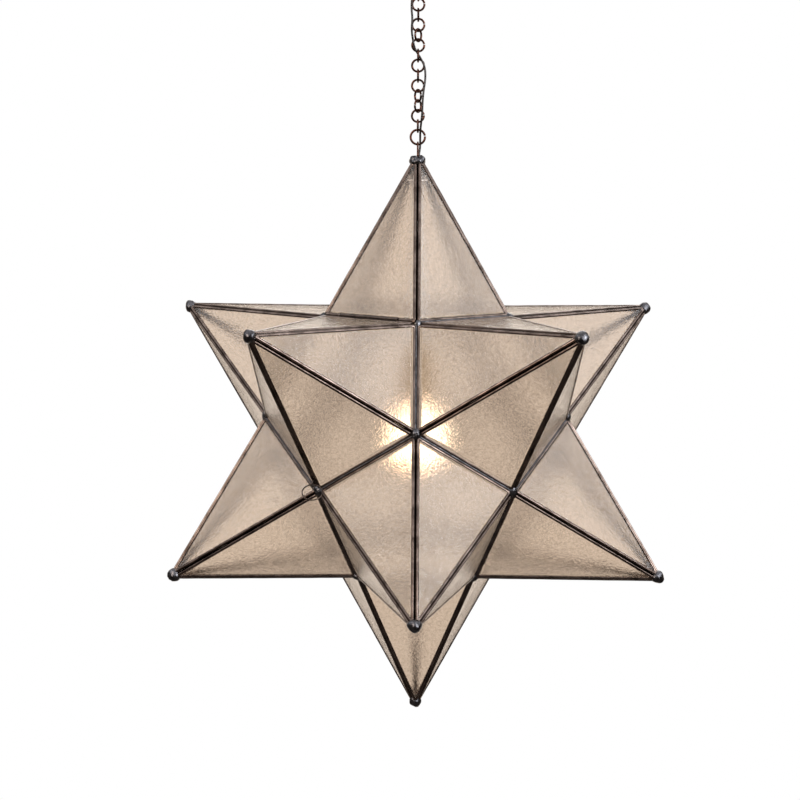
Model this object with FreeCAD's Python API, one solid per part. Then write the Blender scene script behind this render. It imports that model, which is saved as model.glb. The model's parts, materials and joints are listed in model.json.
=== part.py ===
import FreeCAD, Part
import math
import os

# Moravian star pendant, in millimetres. The origin is the middle of the ceiling face, +Z up.
# Everything hangs below it: ceiling kit, round-link chain, and a glass star of twelve points.

Vector = FreeCAD.Vector
Z_AXIS = Vector(0, 0, 1)

# ---- star: panes and their U-channel cames
TIP_RADIUS = 292.0          # star centre to where a point's panes would meet
VALLEY_RADIUS = 162.3       # star centre to a corner where three points meet
GLASS_THICKNESS = 2.2
GLASS_PLAY = 0.1            # between a pane and each wall of its channel
CAME_WALL = 0.5
CAME_WIDTH = 2.8            # how far a channel covers its pane
RIDGE_SETBACK = 1.9         # channel back to the sharp ridge line
VALLEY_SETBACK = 0.2        # channel back to the valley line

# ---- solder
TIP_CAP_RADIUS = 6.4
TOP_CAP_RADIUS = 8.0
TIP_CAP_SINK = 9.5          # centre of a cap below the sharp tip
TOP_CAP_SINK = 12.0
VALLEY_LUMP_RADIUS = 6.4
VALLEY_LUMP_SINK = 3.2      # centre of a lump below its corner
CRUMB_VOLUME = 1.0          # a smaller scrap left by a cut is dropped
RELIEF_REACH = 14.0         # round the hinge axis, free of solder at the hinge's ends
RELIEF_FLARE = 18.0         # degrees, as the door's ridges lean outward

# ---- door point: hinge along its edge with the top point, pull ring at the corner opposite
HINGE_LENGTH = 70.0
HINGE_KNUCKLES = 5
HINGE_TUBE_RADIUS = 1.0
HINGE_PIN_RADIUS = 0.5
HINGE_RUNNING_FIT = 0.05
HINGE_GAP = 0.25            # knuckle to the channels beside it
HINGE_END_GAP = 0.2         # between knuckles
LEAF_THICKNESS = 0.4
LEAF_INNER = 2.1            # leaf strip, measured up the pane from the valley line
LEAF_OUTER = 3.4
LEAF_OVERLAP = 0.5          # knuckle webs over the leaf strip
DOOR_CLEARANCE = 0.35

PULL_RING_RADIUS = 9.6      # to the wire's centre
PULL_RING_WIRE_RADIUS = 0.6
PULL_RING_TILT = 52.0       # the ring stands out from the vertical by this angle, in degrees
STAPLE_WIRE_RADIUS = 0.5
STAPLE_RADIUS = 2.5
STAPLE_PLAY = 0.4           # ring wire below the staple's crown
STAPLE_UP_RIDGE = 10.5      # from the corner where three points meet
STAPLE_LIFT = 0.9           # wire centre line of the staple's feet above the ridge line

# ---- hanging eye, chain
EYE_WIRE_RADIUS = 0.9
EYE_BEND_RADIUS = 3.3
EYE_RISE = 6.8              # top of the eye's centre line above the sharp tip
EYE_FOOT_DEPTH = 13.0       # its legs end this far below the tip, in the top cap
SEAT_PLAY = 0.05            # leg, thread or shaft in its hole
LINK_PLAY = 0.12            # between two linked wires
RING_OUTER = 13.9
RING_WIRE_RADIUS = 1.0
LOW_RING_OUTER = 16.4
LOW_RING_WIRE_RADIUS = 1.05
RING_YAWS = (90, 0, 90, 0, 60, 0, 90, 0, 90, 0, 120, 60, 0, 90, 0)   # degrees, from the top

# ---- ceiling kit
CANOPY_RADIUS = 63.5
CANOPY_DEPTH = 36.0
CANOPY_WALL = 0.9
CANOPY_LIP = 4.0
CANOPY_FLAT_RADIUS = 17.0
SHANK_RADIUS = 9.0
SHANK_INSIDE = 5.6          # the loop's shank stands this far up inside the canopy
SHANK_BELOW = 7.0
COLLAR_RADIUS = 14.0
COLLAR_HEIGHT = 6.0
COLLAR_FLUTES = 24
COLLAR_FLUTE_RADIUS = 1.2
COLLAR_FLUTE_DEPTH = 0.6
COLLAR_FIT = 0.3            # canopy hole round the shank
LOOP_RING_RADIUS = 8.0
LOOP_WIRE_RADIUS = 2.0
LOOP_RING_SINK = 1.5        # the loop's top centre line, up inside the shank
CORD_BORE_RADIUS = 2.2
THREAD_RADIUS = 5.15        # 1/8 IP pipe thread
PIPE_BORE_RADIUS = 3.2
HICKEY_RADIUS = 8.0
HICKEY_TOP = 6.0            # below the ceiling
HICKEY_HEIGHT = 24.0
HICKEY_BOSS = 6.0
HICKEY_WINDOW = 10.0        # width of the side openings
NIPPLE_LENGTH = 11.5
STUB_LENGTH = 5.5
CROSSBAR_WIDTH = 20.0
CROSSBAR_THICKNESS = 1.6
SCREW_SPACING = 79.4        # middle of the slots, for boxes from 70 to 89 mm
SLOT_LENGTH = 14.0
SLOT_RADIUS = 2.3
CROSSBAR_END = 4.1          # metal left beyond each slot
CROSSBAR_LENGTH = SCREW_SPACING + SLOT_LENGTH + 2 * CROSSBAR_END
WIRE_NUT_LENGTH = 17.0
WIRE_NUT_MOUTH_RADIUS = 5.0
WIRE_NUT_TOP_RADIUS = 3.2
WIRE_NUT_END = 3.0          # solid end of a wire nut
WIRE_NUT_MOUTH = (5.0, -27.0, -17.0)         # the right-hand one; the other mirrors it
WIRE_NUT_DIRECTION = (0.62, -1.0, 0.14)
NIPPLE_DEPTH = 0.2          # its top below the ceiling
LEAD_RADIUS = 0.8
LEAD_FIT = 0.4              # wire nut's bore round a lead
LEAD_SPREAD = 0.9           # from the cord's middle, where its jacket ends
LEAD_STRAIGHT = 3.0
LEAD_RUN_IN = 2.5           # straight before the wire nut
LEAD_INSIDE = 6.0           # in the wire nut

# ---- lamp: heights are above the star centre
PLATE_DEPTH = 30.0          # below the tip
PLATE_THICKNESS = 1.5
NUT_FLATS = 14.3
NUT_HEIGHT = 4.0
STEM_TOP_DEPTH = 21.0       # below the tip
SOCKET_TOP = 98.0
SOCKET_BOSS_HEIGHT = 8.0
SOCKET_BOSS_RADIUS = 7.6
STEM_ENGAGEMENT = 7.0
SOCKET_RADIUS = 16.5
SOCKET_WALL = 0.5
SOCKET_CAP_WALL = 0.8
SOCKET_CAP_DISH = 1.2       # thickness of the cap's cone, measured upright
SOCKET_CAP_STEP = 0.4       # the same where the cone meets the skirt
SOCKET_FIT = 0.05           # shell inside the cap's skirt
INSULATOR_FIT = 0.4
CORD_HOLE_FIT = 0.2
CORD_HOLE_DEPTH = 3.0       # the cord's end stands this deep in the insulator
SOCKET_CAP_SKIRT = 4.0
SOCKET_CAP_HEIGHT = 14.0
SOCKET_RIM = 40.0
INSULATOR_BOTTOM = 76.0
INSULATOR_HEIGHT = 7.0
SCREW_SHELL_RADIUS = 13.5   # inside
SCREW_SHELL_WALL = 0.4
SCREW_SHELL_BOTTOM = 47.0
CONTACT_RADIUS = 4.0
CONTACT_THICKNESS = 0.8
BULB_BASE_RADIUS = 13.1
BULB_BASE_WALL = 0.4
BULB_BASE_TOP = 70.0
BULB_BASE_BOTTOM = 45.0
BULB_TIP_HEIGHT = 3.6
BULB_TIP_WALL = 1.0
BULB_TIP_RADIUS = 7.5
BULB_BUTTON_RADIUS = 3.5
BULB_RADIUS = 30.0
BULB_WIDEST = -6.0
BULB_WALL = 0.9
BULB_NECK_RADIUS = 12.4
BULB_NECK_TOP = 50.0
BULB_NECK_LENGTH = 6.0      # straight neck below the base
BULB_BULGE_RADIUS = 0.80    # a point on the curve from the widest girth to the neck, in shares
BULB_BULGE_HEIGHT = 0.44
BULB_SHOULDER = 1.2         # cone at the top of the base

# ---- lamp cord: centre line chosen by hand, from the splice in the canopy to the socket
CORD_RADIUS = 1.05
CORD_CLEARANCE = 0.35
CORD_BEND_SHARE = 0.45
CORD_ROUTE = (
    (0.0, -20.0, -18.5),
    (0.0, -9.0, -15.5),
    (0.0, 0.0, -20.5),
    (0.0, 0.0, -33.0),
    (0.0, -0.6, -45.0),
    (-2.4, -5.2, -53.0),
    (-5.8, -6.6, -62.0),
    (-6.9, -5.6, -73.0),
    (-5.6, -6.4, -84.0),
    (-6.6, -5.0, -94.0),
    (-5.4, -4.2, -103.5),
    (-3.4, -2.7, -112.9),
    (3.2, -2.4, -122.7),
    (7.0, -4.2, -131.0),
    (7.4, -4.6, -142.0),
    (5.6, -6.8, -153.0),
    (4.6, -7.6, -164.0),
    (4.4, -7.4, -174.0),
    (3.4, -6.4, -184.0),
    (2.4, -3.4, -193.0),
    (2.4, 2.6, -202.0),
    (2.4, 2.9, -209.0),
    (0.9, 0.9, -218.0),
    (-0.3, 0.0, -232.0),
    (0.4, 0.3, -258.0),
    (-0.8, 0.3, -290.0),
    (0.7, -0.6, -330.0),
    (-0.6, 0.3, -372.0),
    (0.0, 0.0, -414.0),
)


# ---------------------------------------------------------------- star layout
def unit(vector):
    return Vector(vector).normalize()


def tip_direction(azimuth, side):
    """Direction of a ring point: side +1 is the upper ring, -1 the lower ring."""
    flat = 2 / math.sqrt(5)
    turn = math.radians(azimuth)
    return Vector(flat * math.cos(turn), flat * math.sin(turn), side / math.sqrt(5))


DIRECTIONS = {"top": Vector(0, 0, 1), "bottom": Vector(0, 0, -1)}
for ring_index in range(5):
    DIRECTIONS["upper_%d" % (ring_index + 1)] = tip_direction(-54 + 72 * ring_index, 1)
    DIRECTIONS["lower_%d" % (ring_index + 1)] = tip_direction(-90 + 72 * ring_index, -1)
DOOR = "upper_5"                       # the front left point of the upper ring
FIXED_POINTS = [name for name in DIRECTIONS if name != DOOR]
POINT_ANGLE = math.acos(1 / math.sqrt(5))     # between two neighbouring points


def neighbours(name):
    here = DIRECTIONS[name]
    return [n for n, d in DIRECTIONS.items() if n != name and here.getAngle(d) < POINT_ANGLE + 0.01]


def corner(*names):
    """The valley corner shared by three neighbouring points, from the star centre."""
    total = Vector(0, 0, 0)
    for name in names:
        total = total + DIRECTIONS[name]
    return unit(total) * VALLEY_RADIUS


def corner_triples():
    names = list(DIRECTIONS)
    found = []
    for i, first in enumerate(names):
        near = [n for n in neighbours(first) if names.index(n) > i]
        for second in near:
            for third in neighbours(second):
                if third in near and names.index(third) > names.index(second):
                    found.append((first, second, third))
    return found


# sizes of one point, a five-sided pyramid on its base pentagon
CORNER_ANGLE = unit(corner("top", "upper_1", "upper_2")).getAngle(Z_AXIS)
BASE_HEIGHT = VALLEY_RADIUS * math.cos(CORNER_ANGLE)
BASE_CORNER_RADIUS = VALLEY_RADIUS * math.sin(CORNER_ANGLE)
BASE_INRADIUS = BASE_CORNER_RADIUS * math.cos(math.radians(36))
HALF_BASE = BASE_CORNER_RADIUS * math.sin(math.radians(36))
POINT_HEIGHT = TIP_RADIUS - BASE_HEIGHT
PANE_HEIGHT = math.hypot(POINT_HEIGHT, BASE_INRADIUS)
PANE_SLOPE = math.atan2(BASE_INRADIUS, POINT_HEIGHT)      # pane to the point's axis
HALF_APEX = math.atan2(HALF_BASE, PANE_HEIGHT)
CAME_THICKNESS = GLASS_THICKNESS + 2 * GLASS_PLAY + 2 * CAME_WALL
# half the angle between the backs of the two channels along a ridge
RIDGE_GROOVE = math.acos(
    math.cos(PANE_SLOPE) ** 2 * math.cos(math.radians(72)) + math.sin(PANE_SLOPE) ** 2
) / 2
# a tip's cap is solid above the sharp ends of the channels
TIP_CAP_FILL = RIDGE_SETBACK / math.sin(HALF_APEX) * math.cos(PANE_SLOPE) - SEAT_PLAY

# ---------------------------------------------------------------- heights of what hangs
SHANK_BOTTOM = -CANOPY_DEPTH - SHANK_BELOW
LOOP_CENTRE = SHANK_BOTTOM + LOOP_RING_SINK - LOOP_RING_RADIUS
RING_RADIUS = RING_OUTER / 2 - RING_WIRE_RADIUS
LOW_RING_RADIUS = LOW_RING_OUTER / 2 - LOW_RING_WIRE_RADIUS


def chain_rings():
    """(centre height, yaw, centre-line radius, wire radius, height of the wire it hangs on)."""
    rings = []
    seat = LOOP_CENTRE - LOOP_RING_RADIUS
    seat_wire = LOOP_WIRE_RADIUS
    for number, yaw in enumerate(RING_YAWS, 1):
        lowest = number == len(RING_YAWS)
        radius = LOW_RING_RADIUS if lowest else RING_RADIUS
        wire = LOW_RING_WIRE_RADIUS if lowest else RING_WIRE_RADIUS
        centre = seat + seat_wire + wire + LINK_PLAY - radius
        rings.append((centre, yaw, radius, wire, seat))
        seat = centre - radius
        seat_wire = wire
    return rings


RINGS = chain_rings()
EYE_TOP = RINGS[-1][0] - LOW_RING_RADIUS + LOW_RING_WIRE_RADIUS + EYE_WIRE_RADIUS + LINK_PLAY
STAR_Z = EYE_TOP - EYE_RISE - TIP_RADIUS
STAR_CENTRE = Vector(0, 0, STAR_Z)
TIP_Z = STAR_Z + TIP_RADIUS


# ---------------------------------------------------------------- shape helpers
def save(name, shapes):
    shape = shapes[0] if len(shapes) == 1 else Part.makeCompound(shapes)
    shape.exportStep("parts/%s.step" % name)


def prism(points, low, high):
    """A flat outline in XY, extruded from z = low to z = high."""
    corners = [Vector(x, y, low) for x, y in points]
    face = Part.Face(Part.makePolygon(corners + corners[:1]))
    return face.extrude(Vector(0, 0, high - low))


def placed(shape, placement):
    copy = shape.copy()
    copy.Placement = placement.multiply(copy.Placement)
    return copy


def frame(origin, x_direction, z_direction):
    z = unit(z_direction)
    y = unit(z.cross(x_direction))
    x = y.cross(z)
    return FreeCAD.Placement(origin, FreeCAD.Rotation(x, y, z, "ZXY"))


def revolved(profile):
    """A closed (radius, z) outline of straight edges turned round the Z axis."""
    corners = [Vector(radius, 0, z) for radius, z in profile]
    face = Part.Face(Part.makePolygon(corners + corners[:1]))
    return face.revolve(Vector(0, 0, 0), Z_AXIS, 360)


def tube(outer, inner, low, high):
    body = Part.makeCylinder(outer, high - low, Vector(0, 0, low))
    return body.cut(Part.makeCylinder(inner, high - low + 2, Vector(0, 0, low - 1)))


def ring(centre, yaw, radius, wire):
    """A round wire ring that stands upright; yaw 0 shows it open from the front."""
    turn = math.radians(yaw)
    axis = Vector(-math.sin(turn), math.cos(turn), 0)
    return Part.makeTorus(radius, wire, centre, axis)


def bend_radii(route):
    points = [Vector(*p) for p in route]
    radii = []
    for before, here, after in zip(points, points[1:], points[2:]):
        incoming = here - before
        outgoing = after - here
        half_turn = incoming.getAngle(outgoing) / 2
        shorter = min(incoming.Length, outgoing.Length)
        radii.append(CORD_BEND_SHARE * shorter / math.tan(half_turn) if half_turn > 1e-3 else 0.0)
    return radii


def bent_path(route):
    """Straight runs joined by tangent arcs, as large as the runs allow."""
    points = [Vector(*p) for p in route]
    edges = []
    start = points[0]
    for before, here, after in zip(points, points[1:], points[2:]):
        incoming = here - before
        outgoing = after - here
        if incoming.getAngle(outgoing) < 2e-3:
            continue
        reach = CORD_BEND_SHARE * min(incoming.Length, outgoing.Length)
        enter = here - unit(incoming) * reach
        leave = here + unit(outgoing) * reach
        half_turn = incoming.getAngle(outgoing) / 2
        inward = unit(unit(outgoing) - unit(incoming))
        radius = reach / math.tan(half_turn)
        middle = here + inward * (radius / math.cos(half_turn) - radius)
        edges.append(Part.LineSegment(start, enter).toShape())
        edges.append(Part.Arc(enter, middle, leave).toShape())
        start = leave
    edges.append(Part.LineSegment(start, points[-1]).toShape())
    return Part.Wire(edges)


def pipe(route, radius):
    path = bent_path(route)
    start = Vector(*route[0])
    direction = Vector(*route[1]) - start
    section = Part.Wire([Part.makeCircle(radius, start, direction)])
    return path.makePipeShell([section], True, False)


# ---------------------------------------------------------------- one pane and its three cames
def inset(ridge, valley):
    """Corners of the pane's triangle, moved in from its ridges and from its valley edge."""
    half = (PANE_HEIGHT - valley) * math.tan(HALF_APEX) - ridge / math.cos(HALF_APEX)
    top = PANE_HEIGHT - ridge / math.sin(HALF_APEX)
    return (-half, valley), (half, valley), (0.0, top)


def came_strip(first, second):
    """A U-channel along one edge of the pane, mitred at both ends."""
    outer = inset(RIDGE_SETBACK, VALLEY_SETBACK)
    inner = inset(RIDGE_SETBACK + CAME_WIDTH, VALLEY_SETBACK + CAME_WIDTH)
    slot_outer = inset(RIDGE_SETBACK + CAME_WALL, VALLEY_SETBACK + CAME_WALL)
    past = CAME_WIDTH + 1
    slot_inner = inset(RIDGE_SETBACK + past, VALLEY_SETBACK + past)
    bar = prism((outer[first], outer[second], inner[second], inner[first]), -CAME_THICKNESS, 0)
    slot_outline = (slot_outer[first], slot_outer[second], slot_inner[second], slot_inner[first])
    return bar.cut(prism(slot_outline, CAME_WALL - CAME_THICKNESS, -CAME_WALL))


def slab(low, high):
    """A square block wider than any point, between two heights."""
    return Part.makeBox(2 * TIP_RADIUS, 2 * TIP_RADIUS, high - low, Vector(-TIP_RADIUS, -TIP_RADIUS, low))


def ridge_relief(side):
    """What lies past the middle plane of a ridge, on the right (+1) or left (-1) of the pane."""
    foot = Vector(side * HALF_BASE, 0, 0)
    apex = Vector(0, PANE_HEIGHT, 0)
    along = unit(apex - foot)
    # the middle plane holds the ridge line and the point's axis
    axis_foot = Vector(0, BASE_INRADIUS * math.sin(PANE_SLOPE), -BASE_INRADIUS * math.cos(PANE_SLOPE))
    inward = axis_foot - foot
    outward_normal = inward.cross(along) * side
    return placed(slab(0, TIP_RADIUS), frame(foot, along, outward_normal))


def pane_parts():
    """Glass and cames in the pane's frame: X along the valley edge, Y to the tip, Z out."""
    right_relief = ridge_relief(1)
    left_relief = ridge_relief(-1)
    edge = CAME_WALL + GLASS_PLAY
    glass_outline = inset(RIDGE_SETBACK + edge, VALLEY_SETBACK + edge)
    glass = prism(glass_outline, edge - CAME_THICKNESS, -edge)
    valley = came_strip(0, 1).cut(right_relief).cut(left_relief)
    right = came_strip(1, 2).cut(right_relief)
    left = came_strip(2, 0).cut(left_relief)
    return glass, [valley, right, left]


def pane_frame(number):
    """Pane number 0 to 4 in the frame of its point, whose axis is Z."""
    middle = Vector(BASE_INRADIUS, 0, BASE_HEIGHT)
    outward = Vector(math.cos(PANE_SLOPE), 0, math.sin(PANE_SLOPE))
    turned = FreeCAD.Placement(Vector(0, 0, 0), FreeCAD.Rotation(Z_AXIS, 72 * number))
    return turned.multiply(frame(middle, Vector(0, 1, 0), outward))


def point_frame(name):
    """Places a point built along +Z; its pane 0 faces the point's first neighbour."""
    axis = DIRECTIONS[name]
    toward = DIRECTIONS[neighbours(name)[0]]
    flat = toward - axis * toward.dot(axis)
    return frame(STAR_CENTRE, flat, axis)


def triangle(a, b, c):
    return Part.Face(Part.makePolygon([a, b, c, a]))


def pyramid(offset=0.0, from_centre=False):
    """One point as a solid along +Z, its panes moved out by offset."""
    reach = BASE_INRADIUS + offset / math.cos(PANE_SLOPE)
    tip = Vector(0, 0, TIP_RADIUS + offset / math.sin(PANE_SLOPE))
    radius = reach / math.cos(math.radians(36))
    corners = []
    for index in range(5):
        turn = math.radians(36 + 72 * index)
        corners.append(Vector(radius * math.cos(turn), radius * math.sin(turn), BASE_HEIGHT))
    rim = corners + corners[:1]
    faces = [triangle(a, b, tip) for a, b in zip(rim, rim[1:])]
    if from_centre:
        faces += [triangle(a, b, Vector(0, 0, 0)) for a, b in zip(rim, rim[1:])]
    else:
        faces.append(Part.Face(Part.makePolygon(rim)))
    return Part.Solid(Part.Shell(faces))


# ---------------------------------------------------------------- star nodes
GLASS_PANE, PANE_CAMES = pane_parts()


def point_panes(name):
    place = point_frame(name)
    return [placed(GLASS_PANE, place.multiply(pane_frame(number))) for number in range(5)]


def point_cames(name):
    place = point_frame(name)
    strips = []
    for number in range(5):
        for strip in PANE_CAMES:
            strips.append(placed(strip, place.multiply(pane_frame(number))))
    return strips


def make_star(cord_way, eye_way):
    for name in DIRECTIONS:
        label = "door" if name == DOOR else name
        panes = point_panes(name)
        if name == "top":
            panes = [pane.cut(cord_way).cut(eye_way) for pane in panes]
        save("glass_%s" % label, panes)
    groups = {"top": ["top"], "door": [DOOR], "bottom": ["bottom"]}
    groups["upper"] = [n for n in FIXED_POINTS if n.startswith("upper")]
    groups["lower"] = [n for n in FIXED_POINTS if n.startswith("lower")]
    for group, names in groups.items():
        strips = []
        for name in names:
            strips += point_cames(name)
        if group == "top":
            strips = [strip.cut(cord_way).cut(eye_way) for strip in strips]
        save("came_%s" % group, strips)


def tip_cap(name, cuts=()):
    """A lump of solder over the ends of the cames at one tip, built along +Z."""
    radius, sink = (TOP_CAP_RADIUS, TOP_CAP_SINK) if name == "top" else (TIP_CAP_RADIUS, TIP_CAP_SINK)
    lump = Part.makeSphere(radius, Vector(0, 0, TIP_RADIUS - sink))
    below = slab(0, TIP_RADIUS - TIP_CAP_FILL)
    cap = placed(lump.cut(pyramid().common(below)), point_frame(name))
    for tool in cuts:
        cap = cap.cut(tool)
    return cap


def star_solids(names):
    return [placed(pyramid(from_centre=True), point_frame(name)) for name in names]


def valley_lump(names):
    """Solder in the hollow where three points meet."""
    place = corner(*names)
    lump = Part.makeSphere(VALLEY_LUMP_RADIUS, STAR_CENTRE + place - unit(place) * VALLEY_LUMP_SINK)
    for solid in star_solids(names):
        lump = lump.cut(solid)
    return lump


def hinge_frame():
    """Origin on the hinge axis at its middle; X along the axis, Z out, the door on the +Y side."""
    ends = [corner(DOOR, "top", n) for n in neighbours(DOOR) if n in neighbours("top")]
    middle = (ends[0] + ends[1]) * 0.5
    outward = unit(middle)
    place = point_frame(DOOR)
    door_panel = None
    for number in range(5):
        normal = place.multiply(pane_frame(number)).Rotation.multVec(Z_AXIS)
        if abs(normal.dot(unit(ends[0] - ends[1]))) < 1e-3:
            door_panel = normal
    rise = (HINGE_TUBE_RADIUS + HINGE_GAP) / outward.dot(door_panel)
    toward_door = DIRECTIONS[DOOR] - DIRECTIONS["top"]
    along = unit(toward_door.cross(outward))
    return frame(STAR_CENTRE + middle + outward * rise, along, outward), rise


HINGE, HINGE_RISE = hinge_frame()


def door_wedge(names, grow):
    """The door's side of the two planes that part it from the others at one corner."""
    place = corner(*names)
    wedge = None
    for other in names:
        if other == DOOR:
            continue
        toward_door = unit(DIRECTIONS[DOOR] - DIRECTIONS[other])
        edge = STAR_CENTRE + place - toward_door * grow
        side = placed(slab(0, TIP_RADIUS), frame(edge, place, toward_door))
        wedge = side if wedge is None else wedge.common(side)
    return wedge


def hinge_relief():
    """Turned round the hinge axis: all that the swinging door reaches near its two hinge corners."""
    near = HALF_BASE + DOOR_CLEARANCE
    far = near + (RELIEF_REACH + HINGE_RISE) * math.tan(math.radians(RELIEF_FLARE))
    profile = [(0, -near), (RELIEF_REACH, -far), (RELIEF_REACH, far), (0, near)]
    turned = FreeCAD.Rotation(Vector(0, 1, 0), Vector(0, 0, 1), Vector(1, 0, 0), "ZXY")
    return placed(revolved(profile), HINGE.multiply(FreeCAD.Placement(Vector(0, 0, 0), turned)))


def make_solder(cord_way, eye_way):
    lumps = []
    for name in FIXED_POINTS:
        lumps.append(tip_cap(name, (cord_way, eye_way) if name == "top" else ()))
    save("solder_tip_caps", lumps)
    joints = []
    door_lumps = [tip_cap(DOOR)]
    for names in corner_triples():
        lump = valley_lump(names)
        if DOOR in names and "top" in names:
            lump = lump.cut(hinge_relief())
        elif DOOR in names:
            door_lumps += lump.common(door_wedge(names, -DOOR_CLEARANCE / 2)).Solids
            lump = lump.cut(door_wedge(names, DOOR_CLEARANCE / 2))
        joints += [solid for solid in lump.Solids if solid.Volume > CRUMB_VOLUME]
    save("solder_valley_joints", joints)
    save("solder_door", door_lumps)


# ---------------------------------------------------------------- door hinge and pull ring
def knuckle_spans():
    length = HINGE_LENGTH / HINGE_KNUCKLES
    spans = []
    for index in range(HINGE_KNUCKLES):
        low = -HINGE_LENGTH / 2 + index * length + HINGE_END_GAP / 2
        spans.append((low, low + length - HINGE_END_GAP))
    return spans


def hinge_rod(radius, length):
    return Part.makeCylinder(radius, length, Vector(-length / 2, 0, 0), Vector(1, 0, 0))


def leaf(side, spans):
    """One hinge leaf: side +1 is soldered on the door's came, side -1 on the top point's."""
    slope = math.asin((HINGE_TUBE_RADIUS + HINGE_GAP) / HINGE_RISE)
    # the pane falls away from the valley line on this side, HINGE_RISE below the axis
    up_pane = Vector(0, side * math.sin(slope), math.cos(slope))
    out_of_pane = Vector(0, -side * math.cos(slope), math.sin(slope))
    valley = Vector(0, 0, -HINGE_RISE)

    def plate(low, high, near, far):
        start = valley + up_pane * near + Vector(low, 0, 0)
        face = Part.Face(Part.makePolygon([
            start,
            start + Vector(high - low, 0, 0),
            start + Vector(high - low, 0, 0) + up_pane * (far - near),
            start + up_pane * (far - near),
            start,
        ]))
        return face.extrude(out_of_pane * LEAF_THICKNESS)

    body = plate(-HINGE_LENGTH / 2, HINGE_LENGTH / 2, LEAF_INNER, LEAF_OUTER)
    tangent_foot = HINGE_RISE * math.cos(slope)
    for low, high in spans:
        body = body.fuse(plate(low, high, tangent_foot, LEAF_INNER + LEAF_OVERLAP))
        axis_start = Vector(low, 0, 0)
        body = body.fuse(Part.makeCylinder(HINGE_TUBE_RADIUS, high - low, axis_start, Vector(1, 0, 0)))
    body = body.cut(hinge_rod(HINGE_PIN_RADIUS + HINGE_RUNNING_FIT, HINGE_LENGTH + 2))
    return placed(body, HINGE)


def make_hinge():
    spans = knuckle_spans()
    save("hinge_leaf_top", [leaf(-1, spans[0::2])])
    save("hinge_leaf_door", [leaf(1, spans[1::2])])
    save("hinge_pin", [placed(hinge_rod(HINGE_PIN_RADIUS, HINGE_LENGTH), HINGE)])


def staple_place():
    """The staple stands on the door's ridge above the corner it shares with the lower ring."""
    foot = corner(DOOR, "lower_1", "lower_5")
    tip = DIRECTIONS[DOOR] * TIP_RADIUS
    along = unit(tip - foot)
    out = unit(foot - along * foot.dot(along))
    return STAR_CENTRE + foot + along * STAPLE_UP_RIDGE, along, out


def make_pull_ring():
    foot, along, out = staple_place()
    crown = foot + out * STAPLE_LIFT
    # the legs stand on both walls of the groove between the two ridge cames
    leg_length = STAPLE_LIFT + (RIDGE_SETBACK - STAPLE_WIRE_RADIUS) / math.sin(RIDGE_GROOVE) - SEAT_PLAY
    bend = Part.makeTorus(STAPLE_RADIUS, STAPLE_WIRE_RADIUS)
    size = 4 * STAPLE_RADIUS
    keep = Part.makeBox(size, size, size, Vector(-size / 2, 0, -size / 2))
    arch = bend.common(keep)
    for side in (-1, 1):
        leg_top = Vector(side * STAPLE_RADIUS, 0, 0)
        leg = Part.makeCylinder(STAPLE_WIRE_RADIUS, leg_length, leg_top, Vector(0, -1, 0))
        arch = arch.fuse(leg)
    across = along.cross(out)
    save("pull_ring_staple", [placed(arch, frame(crown, along, across))])
    # the ring's wire runs across, under the crown of the staple
    pivot = crown + out * (STAPLE_RADIUS - STAPLE_WIRE_RADIUS - PULL_RING_WIRE_RADIUS - STAPLE_PLAY)
    tilt = math.radians(PULL_RING_TILT)
    down = Vector(0, -math.sin(tilt), -math.cos(tilt))
    centre = pivot + down * PULL_RING_RADIUS
    plane_normal = Vector(1, 0, 0).cross(down)
    save("pull_ring", [Part.makeTorus(PULL_RING_RADIUS, PULL_RING_WIRE_RADIUS, centre, plane_normal)])
    return pivot


# ---------------------------------------------------------------- eye and chain
def eye_wire(radius):
    bend_height = EYE_TOP - EYE_BEND_RADIUS
    foot = TIP_Z - EYE_FOOT_DEPTH
    front = Vector(0, -EYE_BEND_RADIUS, foot)
    front_top = Vector(0, -EYE_BEND_RADIUS, bend_height)
    back_top = Vector(0, EYE_BEND_RADIUS, bend_height)
    back = Vector(0, EYE_BEND_RADIUS, foot)
    path = Part.Wire([
        Part.LineSegment(front, front_top).toShape(),
        Part.Arc(front_top, Vector(0, 0, EYE_TOP), back_top).toShape(),
        Part.LineSegment(back_top, back).toShape(),
    ])
    section = Part.Wire([Part.makeCircle(radius, front, Z_AXIS)])
    return path.makePipeShell([section], True, False)


def make_chain():
    for number, (centre, yaw, radius, wire, seat) in enumerate(RINGS, 1):
        save("chain_ring_%02d" % number, [ring(Vector(0, 0, centre), yaw, radius, wire)])


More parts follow.
